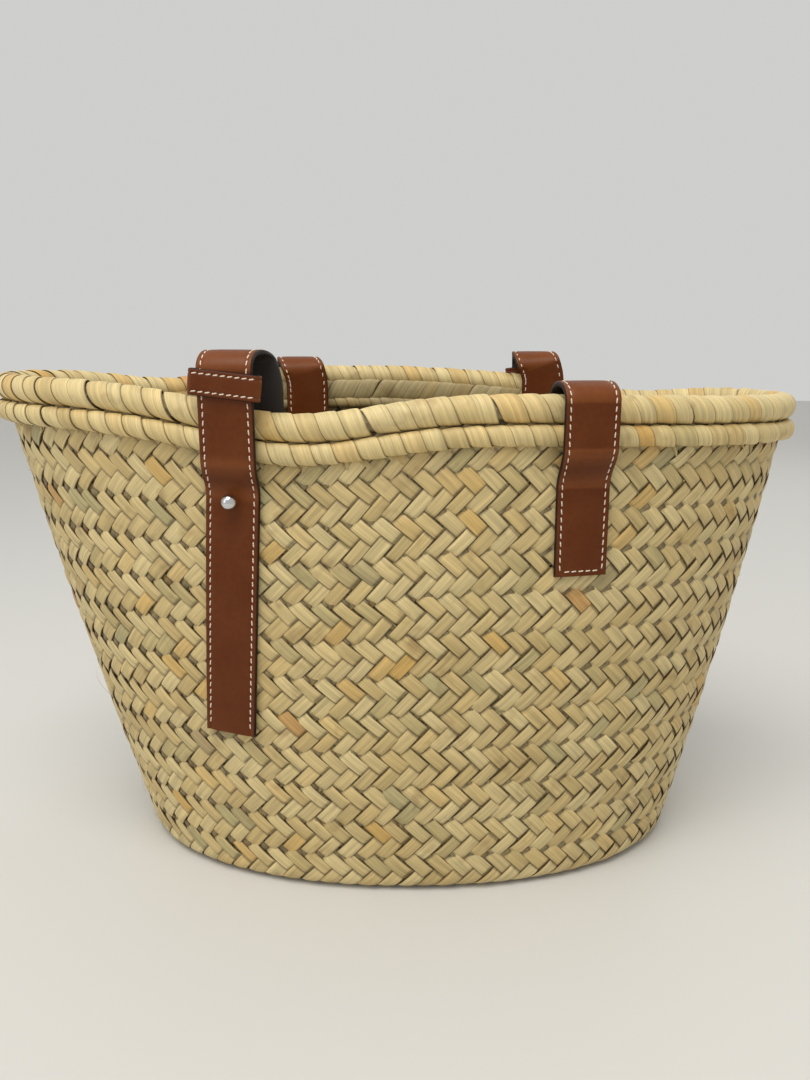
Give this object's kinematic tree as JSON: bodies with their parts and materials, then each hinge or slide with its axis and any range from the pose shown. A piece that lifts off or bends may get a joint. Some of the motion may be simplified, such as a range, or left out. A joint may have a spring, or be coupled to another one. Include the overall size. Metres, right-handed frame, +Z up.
{
  "type": "beach bag",
  "caption": "Oval flared beach bag plaited from palm leaf, with a wrapped rim, two stitched leather handles hanging inside, sliding keepers and ball studs.",
  "frame": {"origin": "centre of the bounding box at ground level, under the basket", "axes": "+X to the right along the long side, front wall with the shorter way to the viewer towards -Y, +Z up"},
  "size_m": [0.5512, 0.2589, 0.3446],
  "materials": {
    "plaited_palm": "dry plaited palm leaf",
    "palm_wrap": "wrapped palm leaf, slight sheen",
    "palm_core": "loose palm fibre",
    "tan_leather": "smooth semi-matt calf leather",
    "dark_lining": "matt dark lining and painted edge",
    "polished_steel": "mirror polished"
  },
  "bodies": {
    "basket": {"floor_plait_1": "plaited_palm", "floor_plait_2": "plaited_palm", "floor_plait_3": "plaited_palm", "floor_plait_4": "plaited_palm", "floor_plait_5": "plaited_palm", "wall_plait_01": "plaited_palm", "wall_plait_02": "plaited_palm", "wall_plait_03": "plaited_palm", "wall_plait_04": "plaited_palm", "wall_plait_05": "plaited_palm", "wall_plait_06": "plaited_palm", "wall_plait_07": "plaited_palm", "wall_plait_08": "plaited_palm", "wall_plait_09": "plaited_palm", "wall_plait_10": "plaited_palm", "wall_plait_11": "plaited_palm", "wall_plait_12": "plaited_palm", "rim_core_top": "palm_core", "rim_coil_top": "palm_wrap", "rim_core_lower": "palm_core", "rim_coil_lower": "palm_wrap", "front_fixed_end": "tan_leather", "front_fixed_end_lining": "dark_lining", "front_tail_upper": "tan_leather", "front_tail_upper_lining": "dark_lining", "front_stud": "polished_steel", "front_stud_screw": "polished_steel", "front_stud_washer": "tan_leather", "back_fixed_end": "tan_leather", "back_fixed_end_lining": "dark_lining", "back_tail_upper": "tan_leather", "back_tail_upper_lining": "dark_lining", "back_stud": "polished_steel", "back_stud_screw": "polished_steel", "back_stud_washer": "tan_leather"},
    "front_folds": {"front_fixed_fold": "tan_leather", "front_fixed_fold_lining": "dark_lining", "front_adjust_fold": "tan_leather", "front_adjust_fold_lining": "dark_lining"},
    "front_handle": {"front_handle_strap": "tan_leather", "front_handle_lining": "dark_lining"},
    "front_tail": {"front_tail": "tan_leather", "front_tail_lining": "dark_lining"},
    "front_keeper": {"front_keeper": "tan_leather"},
    "back_folds": {"back_fixed_fold": "tan_leather", "back_fixed_fold_lining": "dark_lining", "back_adjust_fold": "tan_leather", "back_adjust_fold_lining": "dark_lining"},
    "back_handle": {"back_handle_strap": "tan_leather", "back_handle_lining": "dark_lining"},
    "back_tail": {"back_tail": "tan_leather", "back_tail_lining": "dark_lining"},
    "back_keeper": {"back_keeper": "tan_leather"}
  },
  "joints": [
    {"name": "front_fold", "type": "hinge", "parent": "basket", "child": "front_folds", "pos_m": [0, -0.12605, 0.32556], "axis": [0.9963, 0, -0.0854], "range_deg": [0, 80]},
    {"name": "front_handle_lift", "type": "hinge", "parent": "front_folds", "child": "front_handle", "pos_m": [0, -0.0888, 0.32556], "axis": [0.9963, 0, -0.0854], "range_deg": [0, 75]},
    {"name": "front_tail_lift", "type": "hinge", "parent": "basket", "child": "front_tail", "pos_m": [-0.09668, -0.11497, 0.24862], "axis": [-0.9873, 0.1587, 0], "range_deg": [0, 60]},
    {"name": "front_keeper_slide", "type": "slide", "parent": "basket", "child": "front_keeper", "axis": [0, 0, -1], "range_m": [0, 0.028]},
    {"name": "back_fold", "type": "hinge", "parent": "basket", "child": "back_folds", "pos_m": [0, 0.12684, 0.3273], "axis": [-0.9998, 0, -0.0218], "range_deg": [0, 80]},
    {"name": "back_handle_lift", "type": "hinge", "parent": "back_folds", "child": "back_handle", "pos_m": [0, 0.08993, 0.3273], "axis": [-0.9998, 0, -0.0218], "range_deg": [0, 75]},
    {"name": "back_tail_lift", "type": "hinge", "parent": "basket", "child": "back_tail", "pos_m": [0.11284, 0.11259, 0.2577], "axis": [0.9824, -0.1866, 0], "range_deg": [0, 60]},
    {"name": "back_keeper_slide", "type": "slide", "parent": "basket", "child": "back_keeper", "axis": [0, 0, -1], "range_m": [0, 0.018]}
  ],
  "couplings": [
    {"joint": "front_fold", "follows": "front_handle_lift", "ratio": 1.0667},
    {"joint": "back_fold", "follows": "back_handle_lift", "ratio": 1.0667}
  ]
}
